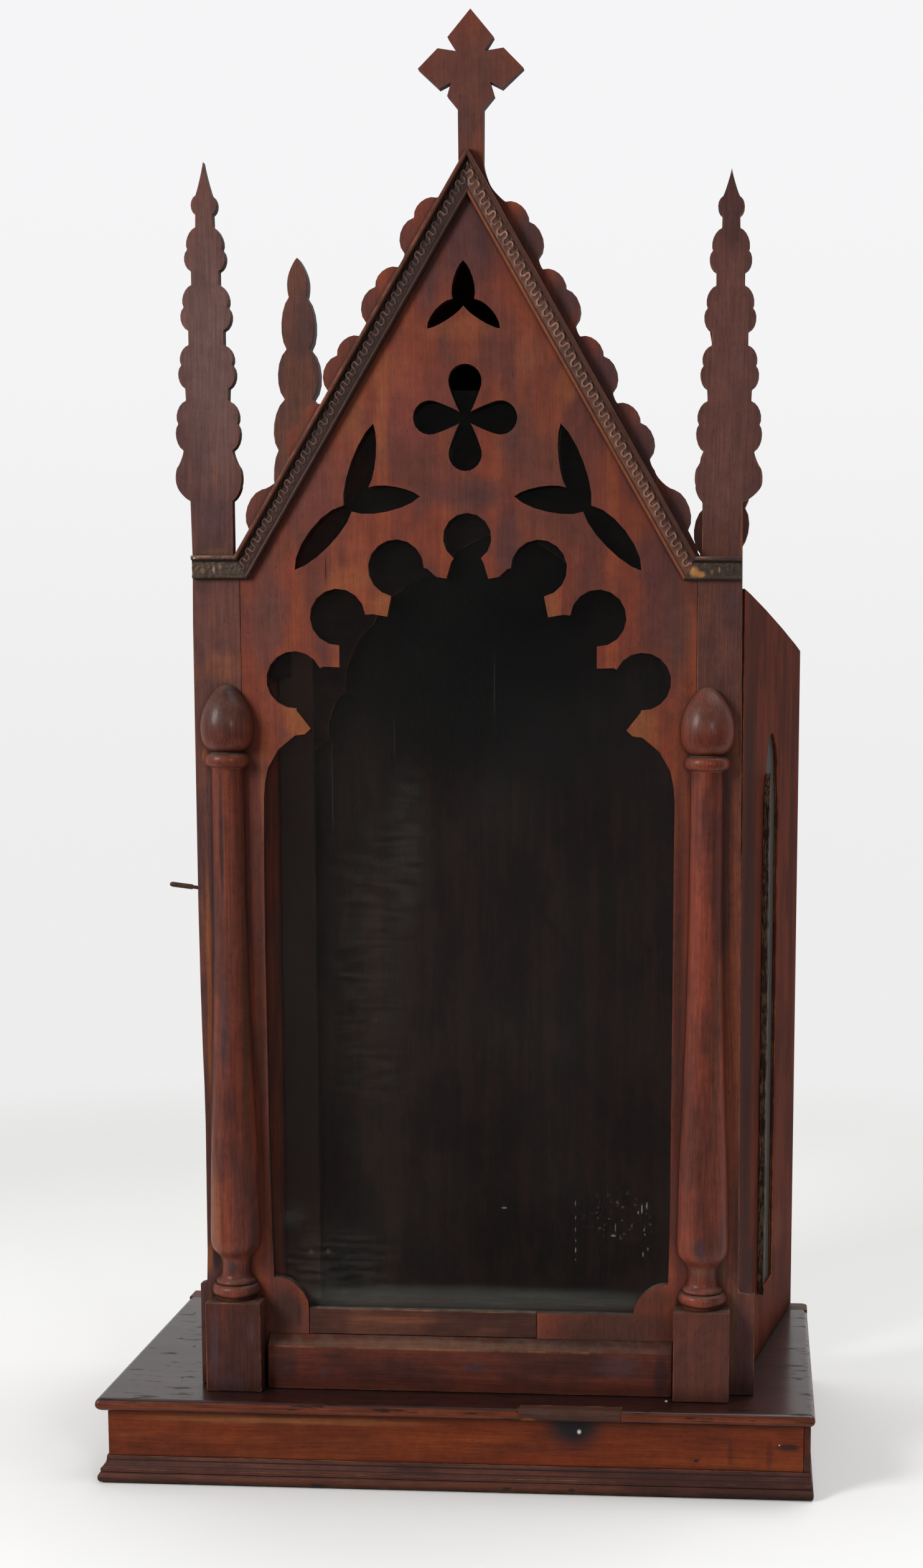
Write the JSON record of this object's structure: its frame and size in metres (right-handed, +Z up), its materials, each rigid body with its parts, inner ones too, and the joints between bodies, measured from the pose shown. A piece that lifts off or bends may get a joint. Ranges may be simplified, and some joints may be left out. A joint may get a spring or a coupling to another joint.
{
  "type": "oratory cabinet",
  "caption": "Gothic gabled oratory cabinet with a cusped glazed front, cross finial, pinnacles, half columns, hinged glazed side doors and a moulded base.",
  "frame": {"origin": "centre of the box around the whole object, on the surface it stands on", "axes": "+X to the right as seen from the front, +Y towards the back, +Z up; the gabled front faces -Y"},
  "size_m": [0.579, 0.32, 1.1495],
  "materials": {
    "facade_wood": "worn french polish, semi-gloss",
    "base_wood": "worn french polish, scuffed edges",
    "moulding_wood": "polished, darkened in the hollows",
    "turned_wood": "turned and polished, semi-gloss",
    "inside_wood": "dusty, unpolished",
    "door_wood": "worn polish, greyed",
    "pane_glass": "clear old sheet glass, slightly dusty",
    "old_putty": "dry cracked putty, matt"
  },
  "bodies": {
    "cabinet": {"base_top": "base_wood", "nosing_patch": "base_wood", "base_rear_strip": "base_wood", "base_front": "base_wood", "base_side_left": "base_wood", "base_side_right": "base_wood", "base_back": "base_wood", "base_moulding_front": "moulding_wood", "base_moulding_left": "moulding_wood", "base_moulding_right": "moulding_wood", "front_stile_left": "facade_wood", "front_stile_right": "facade_wood", "front_panel": "facade_wood", "sill_strip": "facade_wood", "bottom_rail": "facade_wood", "pedestal_left": "facade_wood", "pedestal_right": "facade_wood", "half_column_left": "turned_wood", "half_column_right": "turned_wood", "cornice_return_left": "moulding_wood", "cornice_return_right": "moulding_wood", "rake_moulding_left": "moulding_wood", "rake_moulding_right": "moulding_wood", "glass_front": "pane_glass", "back_stile_left": "inside_wood", "back_stile_right": "inside_wood", "back_head": "inside_wood", "back_panel": "inside_wood", "side_rail_left": "inside_wood", "side_rail_right": "inside_wood", "roof_left": "inside_wood", "roof_right": "inside_wood", "side_peg": "turned_wood"},
    "left_door": {"door_left": "door_wood", "door_left_glass": "pane_glass", "door_left_putty": "old_putty"},
    "right_door": {"door_right": "door_wood", "door_right_glass": "pane_glass", "door_right_putty": "old_putty"}
  },
  "joints": [
    {"name": "left_door_hinge", "type": "hinge", "parent": "cabinet", "child": "left_door", "pos_m": [-0.2072, -0.1047, 0.395], "axis": [0, 0, 1], "range_deg": [0, 90]},
    {"name": "right_door_hinge", "type": "hinge", "parent": "cabinet", "child": "right_door", "pos_m": [0.2258, -0.1047, 0.395], "axis": [0, 0, -1], "range_deg": [-10.6, 79.4]}
  ]
}
